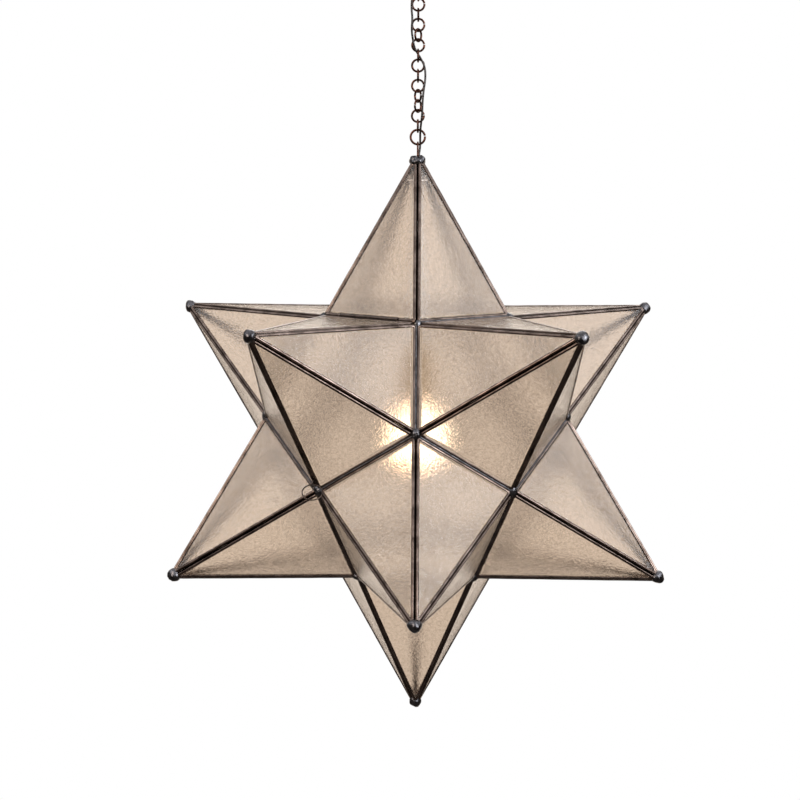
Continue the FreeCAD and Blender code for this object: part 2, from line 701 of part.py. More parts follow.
# ---------------------------------------------------------------- ceiling kit
def canopy():
    """A shallow dome: upright lip, quarter curve, flat middle with the shank's hole."""
    hole = SHANK_RADIUS + COLLAR_FIT

    def side(inward):
        """Lip radius, height of the flat, and the curve between, level where it meets the flat."""
        lip_radius = CANOPY_RADIUS - inward
        bottom = -CANOPY_DEPTH + inward
        across = lip_radius - CANOPY_FLAT_RADIUS
        rise = -CANOPY_LIP - bottom
        sweep_radius = (across ** 2 + rise ** 2) / (2 * rise)
        half_turn = math.asin(across / sweep_radius) / 2
        middle_radius = CANOPY_FLAT_RADIUS + sweep_radius * math.sin(half_turn)
        middle_height = bottom + sweep_radius * (1 - math.cos(half_turn))
        sweep = Part.Arc(
            Vector(lip_radius, 0, -CANOPY_LIP),
            Vector(middle_radius, 0, middle_height),
            Vector(CANOPY_FLAT_RADIUS, 0, bottom),
        )
        return lip_radius, bottom, sweep

    outer_radius, outer_bottom, outer_curve = side(0)
    inner_radius, inner_bottom, inner_curve = side(CANOPY_WALL)
    flat = CANOPY_FLAT_RADIUS
    edges = [
        Part.LineSegment(Vector(inner_radius, 0, 0), Vector(outer_radius, 0, 0)).toShape(),
        Part.LineSegment(Vector(outer_radius, 0, 0), Vector(outer_radius, 0, -CANOPY_LIP)).toShape(),
        outer_curve.toShape(),
        Part.LineSegment(Vector(flat, 0, outer_bottom), Vector(hole, 0, outer_bottom)).toShape(),
        Part.LineSegment(Vector(hole, 0, outer_bottom), Vector(hole, 0, inner_bottom)).toShape(),
        Part.LineSegment(Vector(hole, 0, inner_bottom), Vector(flat, 0, inner_bottom)).toShape(),
        inner_curve.toShape(),
        Part.LineSegment(Vector(inner_radius, 0, -CANOPY_LIP), Vector(inner_radius, 0, 0)).toShape(),
    ]
    face = Part.Face(Part.Wire(Part.__sortEdges__(edges)))
    return face.revolve(Vector(0, 0, 0), Z_AXIS, 360)


def canopy_loop():
    shank_top = -CANOPY_DEPTH + SHANK_INSIDE
    shank = Part.makeCylinder(SHANK_RADIUS, shank_top - SHANK_BOTTOM, Vector(0, 0, SHANK_BOTTOM))
    stub = Part.makeCylinder(THREAD_RADIUS, STUB_LENGTH, Vector(0, 0, shank_top))
    loop = Part.makeTorus(LOOP_RING_RADIUS, LOOP_WIRE_RADIUS, Vector(0, 0, LOOP_CENTRE), Vector(0, 1, 0))
    body = shank.fuse(stub).fuse(loop)
    bore_low = SHANK_BOTTOM - LOOP_WIRE_RADIUS
    bore_high = shank_top + STUB_LENGTH + 1
    return body.cut(Part.makeCylinder(CORD_BORE_RADIUS, bore_high - bore_low, Vector(0, 0, bore_low)))


def collar_nut():
    """The ring nut under the canopy, knurled as a ring of shallow flutes."""
    low = -CANOPY_DEPTH - COLLAR_HEIGHT
    body = tube(COLLAR_RADIUS, SHANK_RADIUS + SEAT_PLAY, low, -CANOPY_DEPTH)
    flute_place = Vector(COLLAR_RADIUS + COLLAR_FLUTE_RADIUS - COLLAR_FLUTE_DEPTH, 0, low - 1)
    flute = Part.makeCylinder(COLLAR_FLUTE_RADIUS, COLLAR_HEIGHT + 2, flute_place)
    for index in range(COLLAR_FLUTES):
        turned = flute.copy()
        turned.rotate(Vector(0, 0, 0), Z_AXIS, 360 / COLLAR_FLUTES * index)
        body = body.cut(turned)
    return body


def crossbar():
    bar = Part.makeBox(
        CROSSBAR_LENGTH, CROSSBAR_WIDTH, CROSSBAR_THICKNESS,
        Vector(-CROSSBAR_LENGTH / 2, -CROSSBAR_WIDTH / 2, -CROSSBAR_THICKNESS),
    )
    straight = SLOT_LENGTH - 2 * SLOT_RADIUS
    for side in (-1, 1):
        middle = side * SCREW_SPACING / 2
        slot_start = Vector(middle - straight / 2, -SLOT_RADIUS, -CROSSBAR_THICKNESS - 1)
        slot = Part.makeBox(straight, 2 * SLOT_RADIUS, CROSSBAR_THICKNESS + 2, slot_start)
        for end in (-1, 1):
            centre = Vector(middle + end * straight / 2, 0, -CROSSBAR_THICKNESS - 1)
            slot = slot.fuse(Part.makeCylinder(SLOT_RADIUS, CROSSBAR_THICKNESS + 2, centre))
        bar = bar.cut(slot)
    below = Vector(0, 0, -CROSSBAR_THICKNESS - 1)
    hole = Part.makeCylinder(THREAD_RADIUS + SEAT_PLAY, CROSSBAR_THICKNESS + 2, below)
    return bar.cut(hole)


def hickey():
    """Joins nipple and loop, open at the front and back so that the cord can leave."""
    low = -HICKEY_TOP - HICKEY_HEIGHT
    body = tube(HICKEY_RADIUS, THREAD_RADIUS + SEAT_PLAY, low, -HICKEY_TOP)
    window = Part.makeBox(
        HICKEY_WINDOW, 4 * HICKEY_RADIUS, HICKEY_HEIGHT - 2 * HICKEY_BOSS,
        Vector(-HICKEY_WINDOW / 2, -2 * HICKEY_RADIUS, low + HICKEY_BOSS),
    )
    return body.cut(window)


def wire_nut(side):
    """A twist-on cap for one splice, lying in the canopy with its mouth to the cord's end."""
    across, back, height = WIRE_NUT_MOUTH
    mouth = Vector(side * across, back, height)
    across, back, height = WIRE_NUT_DIRECTION
    direction = unit(Vector(side * across, back, height))
    body = Part.makeCone(
        WIRE_NUT_MOUTH_RADIUS, WIRE_NUT_TOP_RADIUS, WIRE_NUT_LENGTH, mouth, direction
    )
    bore_length = WIRE_NUT_LENGTH - WIRE_NUT_END
    bore = Part.makeCylinder(LEAD_RADIUS + LEAD_FIT, bore_length, mouth - direction, direction)
    return body.cut(bore), mouth, direction


def make_ceiling_kit():
    save("canopy", [canopy()])
    save("canopy_loop", [canopy_loop()])
    save("collar_nut", [collar_nut()])
    save("crossbar", [crossbar()])
    save("hickey", [hickey()])
    nipple_bottom = -NIPPLE_DEPTH - NIPPLE_LENGTH
    save("nipple", [tube(THREAD_RADIUS, PIPE_BORE_RADIUS, nipple_bottom, -NIPPLE_DEPTH)])
    save("wire_nuts", [wire_nut(-1)[0], wire_nut(1)[0]])


def make_cord():
    cord = pipe(CORD_ROUTE, CORD_RADIUS)
    section = math.pi * CORD_RADIUS ** 2
    length = bent_path(CORD_ROUTE).Length
    print("cord length %.1f, volume %.1f, section x length %.1f" % (length, cord.Volume, section * length))
    print("cord bend radii", " ".join("%.0f" % r for r in bend_radii(CORD_ROUTE)))
    pieces = [cord]
    start = Vector(*CORD_ROUTE[0])
    away = unit(start - Vector(*CORD_ROUTE[1]))
    for side in (-1, 1):
        mouth, direction = wire_nut(side)[1:]
        # each bare lead runs on from the end of the jacket into its wire nut
        begin = start + away * SEAT_PLAY + Vector(side * LEAD_SPREAD, 0, 0)
        route = [
            begin,
            begin + away * LEAD_STRAIGHT,
            mouth - direction * LEAD_RUN_IN,
            mouth + direction * LEAD_INSIDE,
        ]
        pieces.append(pipe([(p.x, p.y, p.z) for p in route], LEAD_RADIUS))
    save("lamp_cord", pieces)


# ---------------------------------------------------------------- lamp
def top_plate():
    inner = pyramid(-CAME_THICKNESS - SEAT_PLAY)
    low = TIP_RADIUS - PLATE_DEPTH - PLATE_THICKNESS
    plate = placed(inner.common(slab(low, low + PLATE_THICKNESS)), point_frame("top"))
    hole_bottom = Vector(0, 0, STAR_Z + low - 1)
    hole = Part.makeCylinder(THREAD_RADIUS + SEAT_PLAY, PLATE_THICKNESS + 2, hole_bottom)
    return plate.cut(hole)


def hex_nut(low):
    radius = NUT_FLATS / 2 / math.cos(math.radians(30))
    turns = [math.radians(60 * index) for index in range(6)]
    outline = [(radius * math.cos(turn), radius * math.sin(turn)) for turn in turns]
    return prism(outline, low, low + NUT_HEIGHT).cut(
        Part.makeCylinder(THREAD_RADIUS + SEAT_PLAY, NUT_HEIGHT + 2, Vector(0, 0, low - 1))
    )


def socket_cap():
    top = STAR_Z + SOCKET_TOP
    shoulder = top - SOCKET_BOSS_HEIGHT
    skirt_top = top - SOCKET_CAP_HEIGHT
    low = skirt_top - SOCKET_CAP_SKIRT
    inside = SOCKET_RADIUS - SOCKET_CAP_WALL
    bore = THREAD_RADIUS + SEAT_PLAY
    return revolved([
        (bore, top),
        (SOCKET_BOSS_RADIUS, top),
        (SOCKET_BOSS_RADIUS, shoulder),
        (SOCKET_RADIUS, skirt_top),
        (SOCKET_RADIUS, low),
        (inside, low),
        (inside, skirt_top - SOCKET_CAP_STEP),
        (SOCKET_BOSS_RADIUS - SOCKET_WALL, shoulder - SOCKET_CAP_DISH),
        (bore, shoulder - SOCKET_CAP_DISH),
    ])


def make_lamp():
    save("top_plate", [top_plate()])
    stem_low = STAR_Z + SOCKET_TOP - STEM_ENGAGEMENT
    save("lamp_stem", [tube(THREAD_RADIUS, PIPE_BORE_RADIUS, stem_low, TIP_Z - STEM_TOP_DEPTH)])
    plate_top = TIP_Z - PLATE_DEPTH
    save("stem_nuts", [hex_nut(plate_top), hex_nut(plate_top - PLATE_THICKNESS - NUT_HEIGHT)])
    save("socket_cap", [socket_cap()])
    shell_radius = SOCKET_RADIUS - SOCKET_CAP_WALL - SOCKET_FIT
    shell_top = STAR_Z + SOCKET_TOP - SOCKET_CAP_HEIGHT - SOCKET_CAP_STEP - SEAT_PLAY
    shell = tube(shell_radius, shell_radius - SOCKET_WALL, STAR_Z + SOCKET_RIM, shell_top)
    save("socket_shell", [shell])
    low = STAR_Z + INSULATOR_BOTTOM
    puck_radius = shell_radius - SOCKET_WALL - INSULATOR_FIT
    puck = Part.makeCylinder(puck_radius, INSULATOR_HEIGHT, Vector(0, 0, low))
    hole_bottom = Vector(0, 0, low + INSULATOR_HEIGHT - CORD_HOLE_DEPTH)
    cord_hole = Part.makeCylinder(CORD_RADIUS + CORD_HOLE_FIT, CORD_HOLE_DEPTH + 1, hole_bottom)
    save("socket_insulator", [puck.cut(cord_hole)])
    screw_shell = tube(
        SCREW_SHELL_RADIUS + SCREW_SHELL_WALL, SCREW_SHELL_RADIUS, STAR_Z + SCREW_SHELL_BOTTOM, low
    )
    save("socket_screw_shell", [screw_shell])
    tab = Part.makeCylinder(CONTACT_RADIUS, CONTACT_THICKNESS, Vector(0, 0, low - CONTACT_THICKNESS))
    save("socket_contact", [tab])
    make_bulb()


def make_bulb():
    bottom = STAR_Z + BULB_WIDEST
    neck_low = STAR_Z + BULB_BASE_BOTTOM
    neck_top = STAR_Z + BULB_NECK_TOP

    def half_outline(inward):
        radius = BULB_RADIUS - inward
        neck = BULB_NECK_RADIUS - inward
        start = Vector(0, 0, bottom - radius)
        side = Vector(radius, 0, bottom)
        low_turn = math.radians(45)
        quarter = Vector(radius * math.sin(low_turn), 0, bottom - radius * math.cos(low_turn))
        neck_bottom = neck_low - BULB_NECK_LENGTH
        shoulder = Vector(neck, 0, neck_bottom)
        bulge = bottom + (neck_bottom - bottom) * BULB_BULGE_HEIGHT
        between = Vector(radius * BULB_BULGE_RADIUS, 0, bulge)
        return start, side, quarter, shoulder, between, neck

    start, side, quarter, shoulder, between, neck = half_outline(0)
    start_in, side_in, quarter_in, shoulder_in, between_in, neck_in = half_outline(BULB_WALL)
    edges = [
        Part.Arc(start, quarter, side).toShape(),
        Part.Arc(side, between, shoulder).toShape(),
        Part.LineSegment(shoulder, Vector(neck, 0, neck_top)).toShape(),
        Part.LineSegment(Vector(neck, 0, neck_top), Vector(neck_in, 0, neck_top)).toShape(),
        Part.LineSegment(Vector(neck_in, 0, neck_top), shoulder_in).toShape(),
        Part.Arc(shoulder_in, between_in, side_in).toShape(),
        Part.Arc(side_in, quarter_in, start_in).toShape(),
        Part.LineSegment(start_in, start).toShape(),
    ]
    envelope = Part.Face(Part.Wire(Part.__sortEdges__(edges))).revolve(Vector(0, 0, 0), Z_AXIS, 360)
    save("bulb_glass", [envelope])
    base_top = STAR_Z + BULB_BASE_TOP
    base = tube(BULB_BASE_RADIUS, BULB_BASE_RADIUS - BULB_BASE_WALL, neck_low, base_top)
    seat = Vector(0, 0, base_top)
    cone = Part.makeCone(BULB_BASE_RADIUS, BULB_TIP_RADIUS, BULB_SHOULDER, seat)
    inside = Part.makeCone(
        BULB_BASE_RADIUS - BULB_BASE_WALL, BULB_TIP_RADIUS - BULB_TIP_WALL, BULB_SHOULDER, seat
    )
    save("bulb_screw_base", [base.fuse(cone.cut(inside)).removeSplitter()])
    button_low = base_top + BULB_SHOULDER
    button_height = BULB_TIP_HEIGHT + BULB_BASE_WALL
    button_wide = BULB_TIP_RADIUS - BULB_TIP_WALL - SEAT_PLAY
    button_place = Vector(0, 0, button_low)
    button = Part.makeCone(button_wide, BULB_BUTTON_RADIUS, button_height, button_place)
    save("bulb_contact", [button])


# ---------------------------------------------------------------- build
def main():
    os.makedirs("parts", exist_ok=True)
    cord_way = pipe(CORD_ROUTE, CORD_RADIUS + CORD_CLEARANCE)
    eye_way = eye_wire(EYE_WIRE_RADIUS + SEAT_PLAY)
    make_star(cord_way, eye_way)
    make_solder(cord_way, eye_way)
    make_hinge()
    pivot = make_pull_ring()
    save("hanging_eye", [eye_wire(EYE_WIRE_RADIUS)])
    make_chain()
    make_ceiling_kit()
    make_cord()
    make_lamp()
    print("star centre z %.3f, hinge at %s along %s" % (
        STAR_Z, HINGE.Base, HINGE.Rotation.multVec(Vector(1, 0, 0))))
    print("pull ring pivot", pivot)
    for number, (centre, yaw, radius, wire, seat) in enumerate(RINGS, 1):
        print("ring %02d centre %.3f yaw %d hangs at %.3f" % (number, centre, yaw, seat))


main()
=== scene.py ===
import json
import math

import bmesh
import bpy
from mathutils import Matrix, Vector, noise


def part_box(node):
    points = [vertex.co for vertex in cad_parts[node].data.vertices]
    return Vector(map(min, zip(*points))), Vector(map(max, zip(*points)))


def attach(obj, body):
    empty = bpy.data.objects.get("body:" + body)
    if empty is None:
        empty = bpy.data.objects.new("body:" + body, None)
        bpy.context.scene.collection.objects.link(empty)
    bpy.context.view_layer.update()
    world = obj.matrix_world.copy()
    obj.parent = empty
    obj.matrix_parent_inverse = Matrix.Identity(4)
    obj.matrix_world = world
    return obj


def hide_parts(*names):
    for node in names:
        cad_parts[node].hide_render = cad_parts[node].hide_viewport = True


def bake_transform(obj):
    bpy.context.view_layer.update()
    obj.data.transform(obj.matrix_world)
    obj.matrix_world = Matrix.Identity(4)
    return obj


# Looks of the star pendant, in metres, in the part's own frame.

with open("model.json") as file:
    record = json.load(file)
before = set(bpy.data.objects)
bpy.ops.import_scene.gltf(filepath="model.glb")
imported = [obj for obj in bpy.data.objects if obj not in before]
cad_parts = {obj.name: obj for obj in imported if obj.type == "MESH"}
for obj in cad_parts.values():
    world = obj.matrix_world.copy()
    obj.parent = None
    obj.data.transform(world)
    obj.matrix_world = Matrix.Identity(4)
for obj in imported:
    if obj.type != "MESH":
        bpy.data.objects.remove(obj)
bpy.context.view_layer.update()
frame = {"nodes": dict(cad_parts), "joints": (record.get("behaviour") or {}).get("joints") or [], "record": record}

# ---- camera: found from the star's tips and corners in the photograph
STAR_CENTRE = Vector((0, 0, -0.50228))
CAMERA_DISTANCE = 1.7018
CAMERA_ELEVATION = math.radians(9.87)
CAMERA_YAW = math.radians(-0.215)
CAMERA_ROLL = math.radians(-0.245)
SENSOR_WIDTH = 36
PICTURE_SIDE = 800
FOCAL_PIXELS = 1655
STAR_CENTRE_PIXEL = (416.5, 437.4)

# ---- star: the same sizes as the solids
TIP_RADIUS = 0.292
VALLEY_RADIUS = 0.1623
RIDGE_SETBACK = 0.0019
VALLEY_SETBACK = 0.0002
FIFTH_TURN = 72
FIRST_UPPER_TURN = -54
FIRST_LOWER_TURN = -90
DOOR = "upper_5"
DOOR_CLEARANCE = 0.00035

# ---- glass
GLASS_REACH = 0.0006        # a pane's edge inside its came's outer edge
GLASS_DEPTH = 0.0006        # a pane's face below the came's crest
GLASS_THICKNESS = 0.0022
PANE_DIVISIONS = 32
RIPPLE_DEPTH = 0.0003
RIPPLE_LENGTH = 0.016
RIPPLE_SHARE = 0.34         # of the depth, to each side of its middle
RIPPLE_WANDER = 3
WANDER_LENGTH = 0.07
PIT_LENGTH = 0.011
PIT_SHARE = 0.16
INNER_FACE_SHIFT = Vector((1, 2, 3))    # so that the inner face ripples in its own way
GLASS_ROUGHNESS = 0.035
GLASS_IOR = 1.46
RIPPLE_BUMP = 0.0012
SEED_LENGTH = 0.0019
SEED_BUMP = 0.00032
BUBBLE_LENGTH = 0.0026
BUBBLE_TINTS = (
    (0.36, (0.76, 0.735, 0.7)),
    (0.52, (0.95, 0.935, 0.91)),
    (0.66, (1.0, 0.995, 0.98)),
)
SHADOW_TINT = (0.93, 0.91, 0.87)

# ---- cames: a rounded strip, measured inward from its outer edge and down from its crest
CAME_PROFILE = (
    (0.0, 0.00075),
    (0.00018, 0.00038),
    (0.0006, 0.0001),
    (0.0012, -0.00002),
    (0.0017, 0.0),
    (0.00225, 0.00016),
    (0.00265, 0.00045),
    (0.0028, 0.0008),
    (0.0028, 0.0026),
    (0.0026, 0.00305),
    (0.002, 0.0033),
    (0.0012, 0.0034),
    (0.0003, 0.0034),
    (-0.00002, 0.00306),
)
CAME_STEP = 0.005
CAME_WOBBLE = 0.00016
CAME_WOBBLE_LENGTH = 0.012

# ---- solder: caps on the tips, lumps where three points meet, thin beads down the valleys
TIP_CAP_RADIUS = 0.0065
TIP_CAP_SINK = 0.0095
TOP_CAP_RADII = (0.0082, 0.0082, 0.0058)
TOP_CAP_SINK = 0.0118
TOP_LOBE_RADIUS = 0.0042
TOP_LOBE_OFFSET = 0.0036
VALLEY_LUMP_RADIUS = 0.0058
VALLEY_LUMP_FLATNESS = 0.8
VALLEY_LUMP_SINK = 0.0026
HINGE_END_GAP = 2.5 * DOOR_CLEARANCE
LUMP_DIVISIONS = 3
LUMP_SWELL = 0.2
LUMP_SWELL_RATE = 1.1
LUMP_CRINKLE = 0.07
LUMP_CRINKLE_RATE = 3.3
LUMP_VARIETY = 100          # how fast the lumps' form changes from place to place
BEAD_RADIUS = 0.00095
BEAD_STEP = 0.004
BEAD_SIDES = 10
BEAD_SINK = 0.3             # as shares of its radius, as the next two are
BEAD_UNEVENNESS = 0.25
BEAD_DOOR_SHIFT = 0.6       # onto the door, off the seam that opens
BEAD_WAVE_LENGTH = 0.007

# ---- chain
RING_COUNT = 15
RING_RADIUS = 0.00595
RING_WIRE_RADIUS = 0.00107
LOW_RING_RADIUS = 0.00715
LOW_RING_WIRE_RADIUS = 0.00112
RING_STEPS = 56
RING_SIDES = 12
RING_WIRE_START = 0.03      # as shares of a turn: the wire's two ends nearly meet
RING_WIRE_SPAN = 0.985
RING_UNEVENNESS = 0.012
RING_UNEVENNESS_RATE = 90

# ---- cord: the same route as the solid's
CORD_RADIUS = 0.00105
CORD_SIDES = 14
CORD_BEND_REACH = 0.004     # above the first hinge and below the last one
CORD_ROUTE_MM = (
    (0.0, -20.0, -18.5),
    (0.0, -9.0, -15.5),
    (0.0, 0.0, -20.5),
    (0.0, 0.0, -33.0),
    (0.0, -0.6, -45.0),
    (-2.4, -5.2, -53.0),
    (-5.8, -6.6, -62.0),
    (-6.9, -5.6, -73.0),
    (-5.6, -6.4, -84.0),
    (-6.6, -5.0, -94.0),
    (-5.4, -4.2, -103.5),
    (-3.4, -2.7, -112.9),
    (3.2, -2.4, -122.7),
    (7.0, -4.2, -131.0),
    (7.4, -4.6, -142.0),
    (5.6, -6.8, -153.0),
    (4.6, -7.6, -164.0),
    (4.4, -7.4, -174.0),
    (3.4, -6.4, -184.0),
    (2.4, -3.4, -193.0),
    (2.4, 2.6, -202.0),
    (2.4, 2.9, -209.0),
    (0.9, 0.9, -218.0),
    (-0.3, 0.0, -232.0),
    (0.4, 0.3, -258.0),
    (-0.8, 0.3, -290.0),
    (0.7, -0.6, -330.0),
    (-0.6, 0.3, -372.0),
    (0.0, 0.0, -414.0),
)

# ---- bulb
BULB_FROST = (0.9, 0.82, 0.7)
BULB_ROUGHNESS = 0.4
BULB_GLOW = 3.0
FILAMENT_RISE = 0.002       # of the brightest height over the star's centre
FILAMENT_REACH = 0.036
GLOW_COLOURS = (
    (0.0, (1.0, 0.74, 0.48)),
    (0.45, (0.8, 0.54, 0.32)),
    (1.0, (0.26, 0.14, 0.07)),
)

# ---- surroundings, as the metal and the glass see them; a span is of a direction's Z or Y
ROOM_SPAN = (0.0, 0.75)
ROOM_LOW = (0.12, 0.1, 0.09)
ROOM_HIGH = (1.25, 1.22, 1.25)
BACKDROP_SPAN = (0.45, 0.9)
BACKDROP = (0.92, 0.8, 0.69)
THROUGH_SPAN = (-0.6, 0.5)
THROUGH_LOW = (0.69, 0.545, 0.43)
THROUGH_HIGH = (0.87, 0.695, 0.56)
BLACK = (0, 0, 0)
WHITE = (1, 1, 1)

# ---- lights, all turned to the star: name, place, width and height, power, colour
LIGHTS = (
    ("left", (-1.5, -1.5, 0.3), (0.7, 1.2), 20, (1.0, 0.84, 0.72)),
    ("right", (1.5, -1.3, 0.1), (0.7, 1.3), 30, (0.95, 0.96, 1.0)),
    # weak and cool: these two show as grey sheets in the panes that mirror them
    ("side_right", (1.66, -0.27, 0.56), (1.1, 1.1), 9, (0.86, 0.92, 1.0)),
    ("side_left", (-1.76, -0.22, 0.44), (0.6, 0.6), 2, (0.9, 0.95, 1.0)),
    ("back", (0.3, 1.8, 0.6), (1.4, 0.6), 10, WHITE),
)


# ---------------------------------------------------------------- materials
class Nodes:
    """A new material and short ways to add and join its shader nodes."""

    def __init__(self, name):
        self.material = bpy.data.materials.new(name)
        self.material.use_nodes = True
        self.tree = self.material.node_tree
        self.shader = self.tree.nodes["Principled BSDF"]
        self.output = self.tree.nodes["Material Output"]

    def add(self, kind, **values):
        """A new node; each value is set as its property or else as its input."""
        node = self.tree.nodes.new(kind)
        for key, value in values.items():
            if hasattr(node, key):
                setattr(node, key, value)
            else:
                node.inputs[key.replace("_", " ")].default_value = value
        return node

    def join(self, source, target):
        self.tree.links.new(source, target)

    def coordinates(self):
        return self.add("ShaderNodeTexCoord").outputs["Object"]

    def noise(self, size, detail=3.0, roughness=0.55, distortion=0.0):
        node = self.add("ShaderNodeTexNoise", Scale=1 / size, Detail=detail, Roughness=roughness)
        node.inputs["Distortion"].default_value = distortion
        self.join(self.coordinates(), node.inputs["Vector"])
        return node.outputs["Fac"]

    def ramp(self, factor, *stops):
        node = self.add("ShaderNodeValToRGB")
        ramp = node.color_ramp
        while len(ramp.elements) < len(stops):
            ramp.elements.new(0.5)
        for element, (position, colour) in zip(ramp.elements, stops):
            element.position = position
            element.color = (*colour, 1)
        self.join(factor, node.inputs["Fac"])
        return node.outputs["Color"]

    def bump(self, height, depth, strength=1.0, normal=None):
        node = self.add("ShaderNodeBump", Strength=strength, Distance=depth)
        self.join(height, node.inputs["Height"])
        if normal is not None:
            self.join(normal, node.inputs["Normal"])
        return node.outputs["Normal"]

    def math(self, operation, first, second=None):
        """One step of arithmetic; the second number is a plain value."""
        node = self.add("ShaderNodeMath", operation=operation)
        self.join(first, node.inputs[0])
        if second is not None:
            node.inputs[1].default_value = second
        return node.outputs["Value"]

    def set(self, **values):
        for key, value in values.items():
            self.shader.inputs[key.replace("_", " ")].default_value = value


def patinated_metal(name, dark, light, grain, roughness=0.36, relief=0.00025):
    """Dark patina with lighter patches of about the grain's size, finely pitted."""
    m = Nodes(name)
    patches = m.noise(grain, detail=5, roughness=0.65)
    m.join(m.ramp(patches, (0.35, dark), (0.68, light)), m.shader.inputs["Base Color"])
    m.set(Metallic=1.0, Roughness=roughness)
    fine = m.noise(grain / 6, detail=4)
    m.join(m.bump(fine, relief, strength=0.5), m.shader.inputs["Normal"])
    return m.material


def plain_metal(name, colour, roughness, grain=0.0012, relief=0.00005):
    m = Nodes(name)
    m.set(Base_Color=(*colour, 1), Metallic=1.0, Roughness=roughness)
    m.join(m.bump(m.noise(grain), relief, strength=0.4), m.shader.inputs["Normal"])
    return m.material


def plastic(name, colour, roughness, grain=0.002, relief=0.00006):
    m = Nodes(name)
    m.set(Base_Color=(*colour, 1), Roughness=roughness)
    m.join(m.bump(m.noise(grain), relief, strength=0.3), m.shader.inputs["Normal"])
    return m.material


def seedy_glass():
    """Clear glass with ripples and seeds, which lamps shine through without a shadow."""
    m = Nodes("seedy_glass")
    m.set(Roughness=GLASS_ROUGHNESS, IOR=GLASS_IOR, Transmission_Weight=1.0)
    ripples = m.noise(RIPPLE_LENGTH, detail=2, distortion=1.2)
    seeds = m.noise(SEED_LENGTH, detail=3, roughness=0.6)
    # the fine bubbles dim what is behind them
    bubbles = m.noise(BUBBLE_LENGTH, detail=4, roughness=0.75)
    m.join(m.ramp(bubbles, *BUBBLE_TINTS), m.shader.inputs["Base Color"])
    broad = m.bump(ripples, RIPPLE_BUMP, strength=0.5)
    m.join(m.bump(seeds, SEED_BUMP, normal=broad), m.shader.inputs["Normal"])
    clear = m.add("ShaderNodeBsdfTransparent", Color=(*SHADOW_TINT, 1))
    mix = m.add("ShaderNodeMixShader")
    path = m.add("ShaderNodeLightPath")
    m.join(path.outputs["Is Shadow Ray"], mix.inputs["Fac"])
    m.join(m.shader.outputs["BSDF"], mix.inputs[1])
    m.join(clear.outputs["BSDF"], mix.inputs[2])
    m.join(mix.outputs["Shader"], m.output.inputs["Surface"])
    return m.material


def lit_bulb():
    """Frosted and lit: hottest round the filament, amber towards the neck and the end."""
    m = Nodes("lit_bulb")
    m.set(Base_Color=(*BULB_FROST, 1), Roughness=BULB_ROUGHNESS, Emission_Strength=BULB_GLOW)
    split = m.add("ShaderNodeSeparateXYZ")
    m.join(m.coordinates(), split.inputs["Vector"])
    rise = m.math("SUBTRACT", split.outputs["Z"], STAR_CENTRE.z + FILAMENT_RISE)
    share = m.math("DIVIDE", m.math("ABSOLUTE", rise), FILAMENT_REACH)
    m.join(m.ramp(share, *GLOW_COLOURS), m.shader.inputs["Emission Color"])
    return m.material


MATERIALS = {
    "came": patinated_metal(
        "came",
        dark=(0.05, 0.036, 0.029),
        light=(0.2, 0.155, 0.132),
        grain=0.014,
        roughness=0.2,
        relief=0.0001,
    ),
    "solder": patinated_metal(
        "solder",
        dark=(0.03, 0.029, 0.03),
        light=(0.15, 0.15, 0.16),
        grain=0.005,
        roughness=0.24,
        relief=0.0003,
    ),
    "bronze": patinated_metal(
        "bronze",
        dark=(0.016, 0.01, 0.008),
        light=(0.15, 0.06, 0.038),
        grain=0.004,
        roughness=0.3,
    ),
    "hinge_metal": patinated_metal(
        "hinge_metal",
        dark=(0.03, 0.025, 0.022),
        light=(0.13, 0.1, 0.085),
        grain=0.004,
    ),
    "steel": plain_metal("steel", (0.6, 0.6, 0.62), roughness=0.35),
    "brass": plain_metal("brass", (0.5, 0.4, 0.28), roughness=0.35),
    "phenolic": plastic("phenolic", (0.03, 0.025, 0.022), roughness=0.5),
    "cord": plastic("cord", (0.012, 0.008, 0.006), roughness=0.28),
    "wire_nut": plastic("wire_nut", (0.7, 0.26, 0.05), roughness=0.4),
    "seedy_glass": seedy_glass(),
    "bulb_envelope": lit_bulb(),
}


def paint(obj, slot_name):
    obj.data.materials.clear()
    obj.data.materials.append(MATERIALS[slot_name])


def dress_solids():
    """Every solid's finish, as its material slot says."""
    for part in frame["record"]["subparts"]:
        paint(frame["nodes"][part["node"]], part["material_slot"])


# ---------------------------------------------------------------- mesh helpers
def new_object(name, mesh, slot_name):
    obj = bpy.data.objects.new(name, mesh)
    bpy.context.scene.collection.objects.link(obj)
    paint(obj, slot_name)
    mesh.shade_smooth()
    return obj


def finish_piece(work, name, slot_name, node, body):
    """Makes the mesh an object in place of a node's plain solid, moving with a body."""
    bmesh.ops.recalc_face_normals(work, faces=work.faces)
    mesh = bpy.data.meshes.new(name)
    work.to_mesh(mesh)
    work.free()
    obj = new_object(name, mesh, slot_name)
    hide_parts(node)
    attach(obj, body)


def tube_rings(line, radius, sides):
    """Circles of points square to the line, turned evenly from one to the next."""
    across = Vector((1, 0, 0))
    rings = []
    for index, here in enumerate(line):
        before = line[max(index - 1, 0)]
        after = line[min(index + 1, len(line) - 1)]
        along = (after - before).normalized()
        across = (across - along * across.dot(along)).normalized()
        other = along.cross(across)
        ring = []
        for step in range(sides):
            turn = 2 * math.pi * step / sides
            ring.append(here + (across * math.cos(turn) + other * math.sin(turn)) * radius)
        rings.append(ring)
    return rings


def tube_mesh(name, rings):
    """A tube through circles of points, closed at both ends."""
    sides = len(rings[0])
    points = [point for ring in rings for point in ring]
    faces = []
    for row in range(len(rings) - 1):
        for step in range(sides):
            following = (step + 1) % sides
            a = row * sides
            b = a + sides
            faces.append((a + step, a + following, b + following, b + step))
    faces.append(tuple(reversed(range(sides))))
    faces.append(tuple(range(len(points) - sides, len(points))))
    mesh = bpy.data.meshes.new(name)
    mesh.from_pydata(points, [], faces)
    mesh.update()
    return mesh


